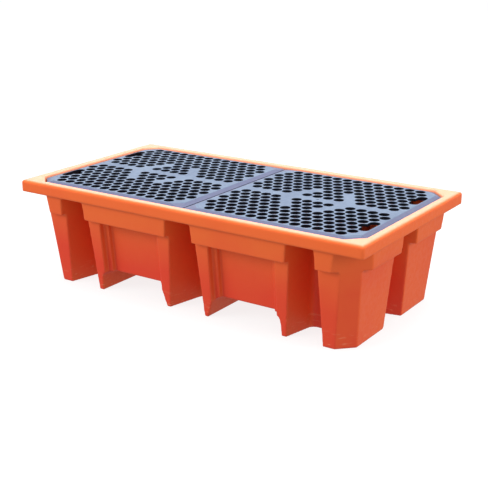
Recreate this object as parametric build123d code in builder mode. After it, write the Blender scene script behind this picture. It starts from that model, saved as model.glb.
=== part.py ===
"""Spill containment pallet for two 205 litre drums: a moulded sump and two lift-out decks.

Origin at the centre of the base on the floor, +X along the long side, +Z up, in millimetres.
The sump is mirrored front to back and left to right, and the left deck is the right one turned
by half a turn.
"""
from build123d import *
import os
from collections import namedtuple

os.makedirs("parts", exist_ok=True)

# Rectangle with 45 degree corners: half sizes and the corner's leg.
Outline = namedtuple("Outline", "half_x half_y corner")
# Upright pocket: its range along the side at its mouth and how far it reaches in, at the floor
# and at its top.
Pocket = namedtuple("Pocket", "low_from low_to low_reach high_from high_to high_reach")

# ---- Sump: overall -------------------------------------------------------------------------
length = 1400.0
width = 742.0
height = 380.0
wall = 6.5

# ---- Sump: lip round the top ---------------------------------------------------------------
lip_height = 42.0
lip_corner_radius = 9.0
lip_top_radius = 8.0
lip_under_radius = 1.5
lip_inner_radius = 4.0
opening = Outline(665.0, 334.0, 52.0)
throat = Outline(665.0, 334.0, 79.0)
vent_mark = (-664.0, -342.0)
vent_radius = 5.5
vent_depth = 1.5

# ---- Sump: collar under the lip, then the drafted body down to the floor ---------------------
collar_bottom = 269.0
collar_top_outline = Outline(681.5, 356.0, 90.0)
collar_low_outline = Outline(676.5, 351.0, 95.0)
body_top_outline = Outline(651.5, 330.5, 50.0)
body_foot_outline = Outline(629.5, 304.5, 53.0)

# ---- Sump: notches between the feet, whose inner sides are the bosses that carry the decks ---
side_pocket = Pocket(399.5, 534.0, 179.0, 422.0, 521.0, 205.0)
centre_pocket = Pocket(-73.5, 73.5, 152.0, -50.5, 50.5, 176.0)
end_pocket = Pocket(-67.0, 67.0, 554.0, -50.5, 50.5, 570.0)
pocket_corner_radius = 22.0
pocket_tapers = (0.2, 0.12)
overrun = 60.0

# ---- Sump: two fork channels, right through from front to back -------------------------------
channel_top = 72.0
channel_foot = (89.0, 380.5)
channel_ceiling = (110.0, 376.0)
channel_corner_radius = 24.0

# ---- Sump: stepped panels above the channels -------------------------------------------------
panel_range = (107.5, 364.0)
panel_step_width = 20.5
panel_step_depths = (21.5, 37.5)
panel_start = 50.0
panel_corner_radius = 5.0

# ---- Decks -----------------------------------------------------------------------------------
deck_depth = 41.0
deck_gap = 4.0
deck_end_gap = 5.0
deck_side_gap = 6.0
bevel_width = 20.5
bevel_drop = 7.5
outer_corner = 50.0
inner_corner = 4.0
top_corner = 41.0
plate = 9.5
skirt = 5.5
rib_thickness = 5.5
rim_radius = 1.2
bevel_radius = 3.0

hole_pitch = 41.15
row_pitch = hole_pitch * 3**0.5 / 2
hole_radius = 17.3
middle_column = 14
last_row = 8
last_plain_row = 3
diamond_reach = 6
rib_angle = 60.0
slot_rows = (4, 6)
gate_radius = 4.8
gate_depth = 1.0

lip_bottom = height - lip_height
deck_seat = height - deck_depth
pocket_top = deck_seat - wall


def blend(low, high, share):
    """The outline that lies the given share of the way from low to high."""
    return Outline(*(a + (b - a) * share for a, b in zip(low, high, strict=True)))


def inset(outline, amount):
    """The same outline drawn in by an even amount on all eight sides."""
    corner = outline.corner - amount * (2 - 2**0.5)
    return Outline(outline.half_x - amount, outline.half_y - amount, corner)


def cornered(outline, level):
    """A rectangle with 45 degree corners, at a height."""
    with BuildSketch(Plane.XY.offset(level)) as sketch:
        Rectangle(2 * outline.half_x, 2 * outline.half_y)
        chamfer(sketch.vertices(), outline.corner)
    return sketch.sketch


def rounded(level, x_from, x_to, y_from, y_to, radius):
    """A rounded rectangle at a height, given by its sides."""
    with BuildSketch(Plane.XY.offset(level)) as sketch:
        with Locations(((x_from + x_to) / 2, (y_from + y_to) / 2)):
            RectangleRounded(x_to - x_from, y_to - y_from, radius)
    return sketch.sketch


def pocket_end(level, x_from, x_to, y_from, y_to, mouth, taper, radius):
    """A rounded shape at a height whose two sides close in evenly from its mouth inwards."""
    inner, outer = taper * (mouth - y_from), taper * (mouth - y_to)
    with BuildSketch(Plane.XY.offset(level)) as sketch:
        with BuildLine():
            Polyline(
                (x_from + inner, y_from),
                (x_to - inner, y_from),
                (x_to - outer, y_to),
                (x_from + outer, y_to),
                close=True,
            )
        make_face()
        fillet(sketch.vertices(), radius)
    return sketch.sketch


def pocket_solid(pocket, mouths, outer, grow):
    """The space of one pocket on the back (+Y) side, grown by a wall on every side it touches."""
    low_sides = (pocket.low_from - grow, pocket.low_to + grow, pocket.low_reach - grow, outer)
    high_sides = (pocket.high_from - grow, pocket.high_to + grow, pocket.high_reach - grow, outer)
    ends = []
    for level, sides, mouth, taper in zip(
        (-grow, pocket_top + grow), (low_sides, high_sides), mouths, pocket_tapers, strict=True
    ):
        ends.append(pocket_end(level, *sides, mouth, taper, pocket_corner_radius + grow))
    with BuildPart() as space:
        loft(ends, ruled=True)
    return space.part


def channel_solid(grow):
    """The space of the fork channel on the +X side."""
    with BuildPart() as space:
        with BuildSketch(Plane.XZ) as profile:
            with BuildLine():
                Polyline(
                    (channel_foot[0] - grow, -grow),
                    (channel_ceiling[0] - grow, channel_top + grow),
                    (channel_ceiling[1] + grow, channel_top + grow),
                    (channel_foot[1] + grow, -grow),
                    close=True,
                )
            make_face()
            fillet(profile.vertices().group_by(Axis.Y)[-1], channel_corner_radius + grow)
        extrude(amount=width, both=True)
    return space.part


def panel_solid(grow):
    """The stepped space in front of the panel on the +X, +Y side."""
    with BuildPart() as space:
        for step, depth in enumerate(panel_step_depths):
            side = step * panel_step_width - grow
            ends = []
            for level in (panel_start, collar_bottom + grow):
                face = blend(body_foot_outline, body_top_outline, level / collar_bottom).half_y
                from_x, to_x = panel_range[0] + side, panel_range[1] - side
                from_y, to_y = face - depth - grow, width / 2 + overrun
                ends.append(rounded(level, from_x, to_x, from_y, to_y, panel_corner_radius + grow))
            loft(ends, ruled=True)
    return space.part


def four_ways(solid):
    """The solid in all four quadrants, as a list."""
    right = [solid, solid.mirror(Plane.XZ)]
    return right + [piece.mirror(Plane.YZ) for piece in right]


def outside_spaces(grow):
    """Everything that the moulding folds round, grown by the wall when seen from inside."""
    long_mouths = (body_foot_outline.half_y, collar_low_outline.half_y)
    short_mouths = (body_foot_outline.half_x, collar_low_outline.half_x)
    side = pocket_solid(side_pocket, long_mouths, width / 2 + overrun, grow)
    centre = pocket_solid(centre_pocket, long_mouths, width / 2 + overrun, grow)
    end = pocket_solid(end_pocket, short_mouths, length / 2 + overrun, grow).rotate(Axis.Z, -90)
    channel = channel_solid(grow)
    spaces = four_ways(side) + four_ways(panel_solid(grow))
    spaces += [centre, centre.mirror(Plane.XZ), end, end.mirror(Plane.YZ)]
    spaces += [channel, channel.mirror(Plane.YZ)]
    return spaces


# ---- Sump ------------------------------------------------------------------------------------
with BuildPart() as hollow:
    extrude(cornered(opening, lip_bottom), amount=lip_height)
    extrude(cornered(throat, collar_bottom + wall), amount=lip_bottom - collar_bottom - wall)
    floor_outline = blend(body_foot_outline, body_top_outline, wall / collar_bottom)
    floor_end = cornered(inset(floor_outline, wall), wall)
    ledge_end = cornered(inset(body_top_outline, wall), collar_bottom + wall)
    loft((floor_end, ledge_end), ruled=True)
    for space in outside_spaces(wall):
        add(space, mode=Mode.SUBTRACT)

with BuildPart() as sump:
    with BuildSketch(Plane.XY.offset(lip_bottom)):
        RectangleRounded(length, width, lip_corner_radius)
    extrude(amount=lip_height)
    fillet(edges().group_by(Axis.Z)[-1], lip_top_radius)
    fillet(edges().group_by(Axis.Z)[0], lip_under_radius)
    collar_ends = (cornered(collar_low_outline, collar_bottom), cornered(collar_top_outline, lip_bottom))
    loft(collar_ends, ruled=True)
    body_ends = (cornered(body_foot_outline, 0), cornered(body_top_outline, collar_bottom))
    loft(body_ends, ruled=True)
    for space in outside_spaces(0):
        add(space, mode=Mode.SUBTRACT)
    add(hollow.part, mode=Mode.SUBTRACT)
    fillet(faces().sort_by(Axis.Z)[-1].inner_wires()[0].edges(), lip_inner_radius)
    with BuildSketch(Plane.XY.offset(height)):
        with Locations(vent_mark):
            Circle(vent_radius)
    extrude(amount=-vent_depth, mode=Mode.SUBTRACT)

sump.part.label = "sump"
export_step(sump.part, "parts/sump.step")

# ---- Right deck ------------------------------------------------------------------------------
deck_inner_x = deck_gap / 2
deck_outer_x = opening.half_x - deck_end_gap
deck_x = (deck_inner_x + deck_outer_x) / 2
deck_half_x = (deck_outer_x - deck_inner_x) / 2
deck_half_y = opening.half_y - deck_side_gap
bevel_level = height - bevel_drop
under_level = height - plate


def deck_outline(level, draw_in, corner_at_end, corner_at_middle):
    """The right deck's outline at a height, drawn in all round, with its corners' legs."""
    with BuildSketch(Plane.XY.offset(level)) as sketch:
        with Locations((deck_x, 0)):
            Rectangle(2 * (deck_half_x - draw_in), 2 * (deck_half_y - draw_in))
        chamfer(sketch.vertices().group_by(Axis.X)[-1], corner_at_end)
        chamfer(sketch.vertices().group_by(Axis.X)[0], corner_at_middle)
    return sketch.sketch


def column_x(column):
    """The X of a column of the lattice, counted in half pitches from the pallet's middle."""
    return deck_x + (column - middle_column) * hole_pitch / 2


def hole_centres():
    """The hexagonal lattice, plain along the middle row and along a diamond round the centre."""
    centres = []
    for row in range(1, last_row + 1):
        first = row % 2
        if row == last_row:
            first += 2  # the last row stops short of the cut corners
        plain = ()
        if row <= last_plain_row:
            plain = (middle_column - diamond_reach + row, middle_column + diamond_reach - row)
        for column in range(first, 2 * middle_column - first + 1, 2):
            if column not in plain:
                centres += [(column_x(column), row * row_pitch), (column_x(column), -row * row_pitch)]
    return centres


with BuildPart() as deck_right:
    base = deck_outline(deck_seat, 0, outer_corner, inner_corner)
    extrude(base, amount=bevel_level - deck_seat)
    bevel_foot = deck_outline(bevel_level, 0, outer_corner, inner_corner)
    bevel_top = deck_outline(height, bevel_width, top_corner, top_corner)
    loft((bevel_foot, bevel_top), ruled=True)
    fillet(faces().sort_by(Axis.Z)[-1].outer_wire().edges(), bevel_radius)

    # The underside follows the bevel, so that the skirt and the plate keep their thickness.
    skirt_top = bevel_level - plate
    inner_base = deck_outline(deck_seat, skirt, outer_corner, inner_corner)
    extrude(inner_base, amount=skirt_top - deck_seat, mode=Mode.SUBTRACT)
    under_foot = deck_outline(skirt_top, skirt, outer_corner, inner_corner)
    under_top = deck_outline(under_level, bevel_width, top_corner, top_corner)
    loft((under_foot, under_top), ruled=True, mode=Mode.SUBTRACT)

    # Ribs under the plain bands: a pair along the middle row, and four along the diamond.
    rib_y = row_pitch / 3
    rib_rows = last_plain_row + 0.5
    diamond_x = (diamond_reach - rib_rows / 2) * hole_pitch / 2
    with BuildSketch(Plane.XY.offset(deck_seat)):
        with Locations((deck_x, rib_y), (deck_x, -rib_y)):
            Rectangle(2 * deck_half_x - skirt, rib_thickness)
        for side_x in (-1, 1):
            for side_y in (-1, 1):
                middle = (deck_x + side_x * diamond_x, side_y * rib_rows * row_pitch / 2)
                with Locations(Location(middle, -rib_angle * side_x * side_y)):
                    Rectangle(rib_rows * hole_pitch, rib_thickness)
    extrude(amount=under_level - deck_seat)

    slot_middle = sum(slot_rows) / 2 * row_pitch
    slot_run = (slot_rows[1] - slot_rows[0]) * row_pitch
    with BuildSketch(Plane.XY.offset(height)):
        with Locations(*hole_centres()):
            Circle(hole_radius)
        slot_x = column_x(2 * middle_column)
        with Locations((slot_x, slot_middle), (slot_x, -slot_middle)):
            SlotCenterToCenter(slot_run, 2 * hole_radius, rotation=90)
    extrude(amount=-plate, mode=Mode.SUBTRACT)
    top_face = faces().sort_by(Axis.Z)[-1]
    fillet([edge for wire in top_face.inner_wires() for edge in wire.edges()], rim_radius)
    with BuildSketch(Plane.XY.offset(height)):
        with Locations((deck_x, 0)):
            Circle(gate_radius)
    extrude(amount=-gate_depth, mode=Mode.SUBTRACT)

deck_right.part.label = "deck_right"
export_step(deck_right.part, "parts/deck_right.step")

# ---- Left deck: the same moulding turned by half a turn ---------------------------------------
with BuildPart() as deck_left:
    add(deck_right.part.rotate(Axis.Z, 180))

deck_left.part.label = "deck_left"
export_step(deck_left.part, "parts/deck_left.step")

litres = hollow.part.volume / 1e6
print(f"space inside the sump up to the top of the lip: {litres:.0f} l")
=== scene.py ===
"""Looks of the spill containment pallet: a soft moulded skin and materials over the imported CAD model."""
import math

import bpy
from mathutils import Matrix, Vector


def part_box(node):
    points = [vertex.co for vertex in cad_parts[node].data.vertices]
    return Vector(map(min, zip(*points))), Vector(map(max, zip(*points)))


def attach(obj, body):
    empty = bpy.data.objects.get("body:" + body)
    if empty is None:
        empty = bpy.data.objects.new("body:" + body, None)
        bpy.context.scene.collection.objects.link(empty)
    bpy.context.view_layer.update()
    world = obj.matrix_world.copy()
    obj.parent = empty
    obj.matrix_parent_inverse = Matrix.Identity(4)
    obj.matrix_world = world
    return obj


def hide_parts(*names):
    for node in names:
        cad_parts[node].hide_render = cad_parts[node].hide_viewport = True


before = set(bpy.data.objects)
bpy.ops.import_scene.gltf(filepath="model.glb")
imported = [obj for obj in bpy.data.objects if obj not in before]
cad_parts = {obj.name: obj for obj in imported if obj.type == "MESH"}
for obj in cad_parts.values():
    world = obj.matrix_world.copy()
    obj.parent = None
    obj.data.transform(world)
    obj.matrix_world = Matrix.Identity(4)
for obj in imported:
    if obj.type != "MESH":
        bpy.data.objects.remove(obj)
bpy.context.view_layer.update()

mm = 0.001

# ---- Colours, linear -------------------------------------------------------------------------
# orange and orange_deep are lit and shaded copies: painted light mixes them by height and by side.
orange = (0.84, 0.142, 0.032)
orange_deep = (0.76, 0.056, 0.024)
orange_chalk = (0.86, 0.36, 0.19)
orange_shade = (0.10, 0.014, 0.005)
orange_highlight = (0.90, 0.42, 0.27)
slate = (0.094, 0.132, 0.208)
slate_light = (0.116, 0.160, 0.240)
slate_rim_shade = (0.096, 0.107, 0.186)
slate_shade = (0.005, 0.006, 0.011)
warm_shine = (1.0, 0.88, 0.74, 1)

# ---- Sump: where its paint changes -------------------------------------------------------------
# The pale lip is a painted highlight, the dark inside is painted shade, and the lighter top and paler side
# towards +X are painted light. They aren't marks.
opening_half = (667 * mm, 336 * mm)     # half the opening's length and width, with 2 mm to spare
lip_land = 33 * mm                      # from there to the lip's outer edge, or 2 mm short of it along Y
lip_fade = (-16 * mm, -2 * mm)          # where the painted highlight ends, measured from that edge
# The lip's painted highlight starts at this height, fades in over this span and has this strength.
highlight_from = 360 * mm
highlight_fade = 8 * mm
highlight_strength = 0.6
# Painted shade inside the sump reaches up to this height, fades out over this span and has this strength.
shade_top = 358 * mm
shade_fade = 10 * mm
shade_strength = 0.75
scuff_height = 90 * mm
scuff_strength = 0.45
orange_rise = (80 * mm, 360 * mm)       # heights between which painted light makes the orange lighter
lit_side = (0.9, 0.0, 0.43)            # the direction whose faces get a paler painted light
lit_side_edge = (0.2, 0.9)             # cosines of the angle from it where that starts and is full
lit_side_strength = 0.6

# ---- Sump: how its skin is made ----------------------------------------------------------------
skin_voxel = 3 * mm
skin_rounds = 7
skin_kept = 0.13

# ---- Decks: where their paint changes ----------------------------------------------------------
# The decks are of one plastic: the rim's darker tone and the dark walls are painted shade.
deck_corner = 50 * mm                   # leg of the cut corners
deck_rim = 18 * mm
seam_half_width = 3 * mm                # takes in both faces of the gap between the decks

# ---- Camera ----------------------------------------------------------------------------------
# It stands at the front right, 3.5 m from the pallet's middle in plan and 0.9 m above the decks.
camera_place = Vector((1.972, -2.8775, 1.301))
camera_azimuth = 33.89
camera_elevation = 18.06
camera_lens = 74.6
camera_sensor = 36
camera_shift = (-0.0045, -0.001)

# ---- Light -----------------------------------------------------------------------------------
light_aim = Vector((0, 0, 0.2))
light_above = 0.74
light_below = 0.45
horizon = (-0.15, 0.02)         # heights of a direction between which the light from below fades out
window_light = 1.7
window_direction = (-0.53, 0.79, 0.31)
window_edge = (0.72, 0.92)      # cosines of the angle from it where the bright patch starts and is full
floor_size = 80
floor_grey = 0.2
floor_glow = 0.83


# ---- Node trees ------------------------------------------------------------------------------
class Nodes:
    """Short calls for building a node tree."""

    def __init__(self, tree, place):
        self.tree = tree
        self.place = self.add("ShaderNodeTexCoord").outputs[place]

    def add(self, kind, **values):
        node = self.tree.nodes.new(kind)
        for name, value in values.items():
            setattr(node, name, value)
        return node

    def link(self, source, target):
        self.tree.links.new(source, target)

    def split(self, vector):
        node = self.add("ShaderNodeSeparateXYZ")
        self.link(vector, node.inputs[0])
        return tuple(node.outputs)

    def facing(self):
        return self.add("ShaderNodeNewGeometry").outputs["Normal"]

    def towards(self, vector, direction):
        node = self.add("ShaderNodeVectorMath", operation="DOT_PRODUCT")
        self.link(vector, node.inputs[0])
        node.inputs[1].default_value = direction
        return node.outputs["Value"]

    def noise(self, scale, detail, stretch=None):
        node = self.add("ShaderNodeTexNoise")
        node.inputs["Scale"].default_value = scale
        node.inputs["Detail"].default_value = detail
        place = self.place
        if stretch:
            mapping = self.add("ShaderNodeMapping")
            mapping.inputs["Scale"].default_value = stretch
            self.link(place, mapping.inputs["Vector"])
            place = mapping.outputs["Vector"]
        self.link(place, node.inputs["Vector"])
        return node.outputs["Fac"]

    def ramp(self, value, low, high, to_low=0.0, to_high=1.0, kind="SMOOTHSTEP"):
        node = self.add("ShaderNodeMapRange", interpolation_type=kind)
        self.link(value, node.inputs["Value"])
        for name, number in zip(("From Min", "From Max", "To Min", "To Max"), (low, high, to_low, to_high)):
            node.inputs[name].default_value = number
        return node.outputs["Result"]

    def math(self, operation, first, second=0.0):
        node = self.add("ShaderNodeMath", operation=operation)
        for socket, value in zip(node.inputs, (first, second)):
            if isinstance(value, (int, float)):
                socket.default_value = value
            else:
                self.link(value, socket)
        return node.outputs[0]

    def mix(self, share, first, second):
        node = self.add("ShaderNodeMix", data_type="RGBA")
        self.link(share, node.inputs[0])
        for socket, value in ((node.inputs[6], first), (node.inputs[7], second)):
            if isinstance(value, tuple):
                socket.default_value = (*value, 1)
            else:
                self.link(value, socket)
        return node.outputs[2]

    def bump(self, value, distance, strength, under=None):
        node = self.add("ShaderNodeBump")
        node.inputs["Distance"].default_value = distance
        node.inputs["Strength"].default_value = strength
        self.link(value, node.inputs["Height"])
        if under:
            self.link(under, node.inputs["Normal"])
        return node.outputs["Normal"]


class Surface(Nodes):
    """The node tree of one material."""

    def __init__(self, name):
        self.material = bpy.data.materials.new(name)
        self.material.use_nodes = True
        super().__init__(self.material.node_tree, "Object")
        self.shader = self.tree.nodes["Principled BSDF"]

    def feed(self, **sources):
        """Links each source to the shader's socket of that name, with _ for a space."""
        for name, source in sources.items():
            self.link(source, self.shader.inputs[name.replace("_", " ")])


# ---- Stage -----------------------------------------------------------------------------------
def make_camera():
    data = bpy.data.cameras.new("camera")
    data.lens = camera_lens
    data.sensor_width = camera_sensor
    data.shift_x, data.shift_y = camera_shift
    camera = bpy.data.objects.new("camera", data)
    turn, rise = math.radians(camera_azimuth), math.radians(camera_elevation)
    back = Vector((math.sin(turn) * math.cos(rise), -math.cos(turn) * math.cos(rise), math.sin(rise)))
    camera.location = camera_place
    camera.rotation_mode = "QUATERNION"
    camera.rotation_quaternion = (-back).to_track_quat("-Z", "Y")
    bpy.context.scene.collection.objects.link(camera)
    bpy.context.scene.camera = camera


def area_light(name, place, size, power, shine=True):
    """A rectangular lamp aimed at the pallet; without shine it isn't seen in reflections."""
    data = bpy.data.lights.new(name, "AREA")
    data.shape = "RECTANGLE"
    data.size, data.size_y = size
    data.energy = power
    lamp = bpy.data.objects.new(name, data)
    lamp.location = place
    lamp.visible_glossy = shine
    lamp.rotation_mode = "QUATERNION"
    lamp.rotation_quaternion = (light_aim - Vector(place)).to_track_quat("-Z", "Y")
    bpy.context.scene.collection.objects.link(lamp)


def make_world():
    """Even white light from above, dimmer light from below, and a broad bright patch at the back left."""
    world = bpy.data.worlds.new("world")
    world.use_nodes = True
    n = Nodes(world.node_tree, "Generated")
    sky = n.ramp(n.split(n.place)[2], *horizon, light_below, light_above, kind="LINEAR")
    window = n.ramp(n.towards(n.place, window_direction), *window_edge, to_high=window_light)
    background = n.tree.nodes["Background"]
    background.inputs["Color"].default_value = (1, 1, 1, 1)
    n.link(n.math("ADD", sky, window), background.inputs["Strength"])
    bpy.context.scene.world = world


def make_floor():
    """A floor that looks white by its own glow, and sends no light on to the pallet."""
    bpy.ops.mesh.primitive_plane_add(size=floor_size)
    floor = bpy.context.object
    floor.name = "floor"
    paint = bpy.data.materials.new("floor")
    paint.use_nodes = True
    shader = paint.node_tree.nodes["Principled BSDF"]
    shader.inputs["Base Color"].default_value = (floor_grey, floor_grey, floor_grey, 1)
    shader.inputs["Roughness"].default_value = 1.0
    shader.inputs["Specular IOR Level"].default_value = 0.0
    shader.inputs["Emission Color"].default_value = (1, 1, 1, 1)
    shader.inputs["Emission Strength"].default_value = floor_glow
    floor.data.materials.append(paint)
    floor.visible_diffuse = False
    floor.visible_glossy = False


def make_stage():
    bpy.context.scene.view_settings.view_transform = "Standard"
    make_world()
    make_floor()
    area_light("overhead", place=(0.2, 0.1, 3.2), size=(2.6, 2.2), power=105)
    area_light("key_left", place=(-5.6, -6.8, 4.4), size=(5.0, 4.0), power=430, shine=False)
    area_light("key_right", place=(8.4, 1.6, 3.6), size=(4.8, 4.0), power=290, shine=False)


# ---- Orange plastic --------------------------------------------------------------------------
def orange_base(n):
    """Deep orange low down, with painted light making it lighter towards the top and on faces towards +X, in
    soft clouds.
    """
    cloud = n.ramp(n.noise(scale=5.0, detail=3.0), 0.3, 0.7, to_low=-0.12, to_high=0.12)
    lit_by_height = n.ramp(n.split(n.place)[2], *orange_rise)
    lit_by_side = n.ramp(n.towards(n.facing(), lit_side), *lit_side_edge, to_high=lit_side_strength)
    return n.mix(n.math("ADD", n.math("MAXIMUM", lit_by_height, lit_by_side), cloud), orange_deep, orange)


def scuff_mask(n):
    """Short level scratches that get stronger towards the floor."""
    low = n.ramp(n.split(n.place)[2], 0.0, scuff_height, to_low=1.0, to_high=0.0)
    streak = n.ramp(n.noise(scale=34.0, detail=5.0, stretch=(1.0, 1.0, 4.0)), 0.56, 0.72)
    return n.math("MULTIPLY", n.math("MULTIPLY", low, streak), scuff_strength)


def past_opening(n):
    """How far a point lies past opening_half, along X and along Y."""
    parts = n.split(n.place)
    return [n.math("SUBTRACT", n.math("ABSOLUTE", part), half) for part, half in zip(parts, opening_half)]


def shade_mask(n):
    """Painted shade on the inside of the sump where it faces upwards at all, up to 22 mm below the tops of
    the decks.

    The outer walls of the notches lie within the opening too, but they lean over and face downwards.
    """
    inside = n.math("LESS_THAN", n.math("MAXIMUM", *past_opening(n)), 0.0)
    facing_up = n.ramp(n.split(n.facing())[2], 0.0, 0.03)
    low = n.ramp(n.split(n.place)[2], shade_top - shade_fade, shade_top, to_low=1.0, to_high=0.0)
    return n.math("MULTIPLY", n.math("MULTIPLY", n.math("MULTIPLY", inside, facing_up), low), shade_strength)


def lip_highlight_mask(n):
    """Where the pale painted highlight goes: the lip's top and the upper half of its inner side, ending
    short of the lip's outer edge.
    """
    past_land = n.math("MAXIMUM", *(n.math("SUBTRACT", past, lip_land) for past in past_opening(n)))
    on_lip = n.ramp(past_land, *lip_fade, to_low=1.0, to_high=0.0)
    high = n.ramp(n.split(n.place)[2], highlight_from, highlight_from + highlight_fade)
    return n.math("MULTIPLY", n.math("MULTIPLY", on_lip, high), highlight_strength)


def orange_plastic():
    """Moulded polyethylene with an orange-peel skin and scuffed feet, painted shade inside and a painted
    highlight on the lip.
    """
    n = Surface("orange_polyethylene")
    scuff = scuff_mask(n)
    colour = n.mix(scuff, orange_base(n), orange_chalk)
    # Painted shade on the upward faces inside the sump.
    colour = n.mix(shade_mask(n), colour, orange_shade)
    # Painted highlight on the lip's top and inner side.
    colour = n.mix(lip_highlight_mask(n), colour, orange_highlight)
    rough = n.ramp(n.noise(scale=60.0, detail=4.0), 0.3, 0.7, to_low=0.42, to_high=0.54)
    wave = n.bump(n.noise(scale=9.0, detail=1.0), distance=4 * mm, strength=0.35)
    peel = n.bump(n.noise(scale=420.0, detail=2.0), distance=0.4 * mm, strength=0.5, under=wave)
    n.feed(Base_Color=colour, Roughness=n.math("ADD", rough, n.math("MULTIPLY", scuff, 0.4)), Normal=peel)
    n.shader.inputs["IOR"].default_value = 1.5
    n.shader.inputs["Specular IOR Level"].default_value = 0.35
    n.shader.inputs["Specular Tint"].default_value = warm_shine
    return n.material


# ---- Slate plastic ---------------------------------------------------------------------------
def deck_top_mask(n, node):
    """The part of a deck further in than deck_rim, seen from above: its top and the last of the bevel."""
    low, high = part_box(node)
    middle, half = (low + high) / 2, (high - low) / 2
    x, y = n.split(n.place)[:2]
    across = n.math("ABSOLUTE", n.math("SUBTRACT", x, middle.x))
    along = n.math("ABSOLUTE", y)
    edge = n.math("MAXIMUM", n.math("SUBTRACT", across, half.x), n.math("SUBTRACT", along, half.y))
    corner = n.math("SUBTRACT", n.math("ADD", across, along), half.x + half.y - deck_corner)
    return n.math("LESS_THAN", n.math("MAXIMUM", edge, corner), -deck_rim)


def slate_plastic(node):
    """Moulded deck plastic with a matt grain; the rim has a darker painted-shade tone, and painted shade
    darkens the holes and seam.
    """
    n = Surface("slate_" + node)
    top = deck_top_mask(n, node)
    cloud = n.ramp(n.noise(scale=8.0, detail=3.0), 0.35, 0.65)
    # Painted shade: the rim takes a darker tone than the top.
    colour = n.mix(top, slate_rim_shade, n.mix(cloud, slate, slate_light))

    # Painted shade: steep faces are darkened inside the rim, as walls of holes and ribs, and at the gap
    # between the decks.
    steep = n.ramp(n.math("ABSOLUTE", n.split(n.facing())[2]), 0.6, 0.97, to_low=1.0, to_high=0.0)
    seam = n.math("LESS_THAN", n.math("ABSOLUTE", n.split(n.place)[0]), seam_half_width)
    colour = n.mix(n.math("MULTIPLY", n.math("MAXIMUM", top, seam), steep), colour, slate_shade)

    rough = n.ramp(n.noise(scale=90.0, detail=4.0), 0.3, 0.7, to_low=0.50, to_high=0.62)
    grain = n.bump(n.noise(scale=900.0, detail=2.0), distance=0.2 * mm, strength=0.4)
    n.feed(Base_Color=colour, Roughness=rough, Normal=grain)
    n.shader.inputs["Specular IOR Level"].default_value = 0.2
    return n.material


# ---- Pieces ----------------------------------------------------------------------------------
def moulded_skin(node, name):
    """A CAD node's shape with every edge rounded softly, as a tool for hot plastic leaves it."""
    skin = bpy.data.objects.new(name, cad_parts[node].data.copy())
    bpy.context.scene.collection.objects.link(skin)
    skin.data.materials.clear()
    remesh = skin.modifiers.new("remesh", "REMESH")
    remesh.mode = "VOXEL"
    remesh.voxel_size = skin_voxel
    soften = skin.modifiers.new("soften", "SMOOTH")
    soften.factor = 0.5
    soften.iterations = skin_rounds
    thin = skin.modifiers.new("thin", "DECIMATE")
    thin.ratio = skin_kept
    graph = bpy.context.evaluated_depsgraph_get()
    mesh = bpy.data.meshes.new_from_object(skin.evaluated_get(graph))
    skin.modifiers.clear()
    skin.data = mesh
    mesh.name = name
    mesh.shade_smooth()
    return skin


def make_sump():
    skin = moulded_skin("sump", "sump_moulding")
    skin.data.materials.append(orange_plastic())
    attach(skin, "base")
    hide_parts("sump")


def make_decks():
    for node in ("deck_left", "deck_right"):
        paint = slate_plastic(node)
        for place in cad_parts[node].material_slots:
            place.material = paint


make_camera()
make_stage()
make_sump()
make_decks()
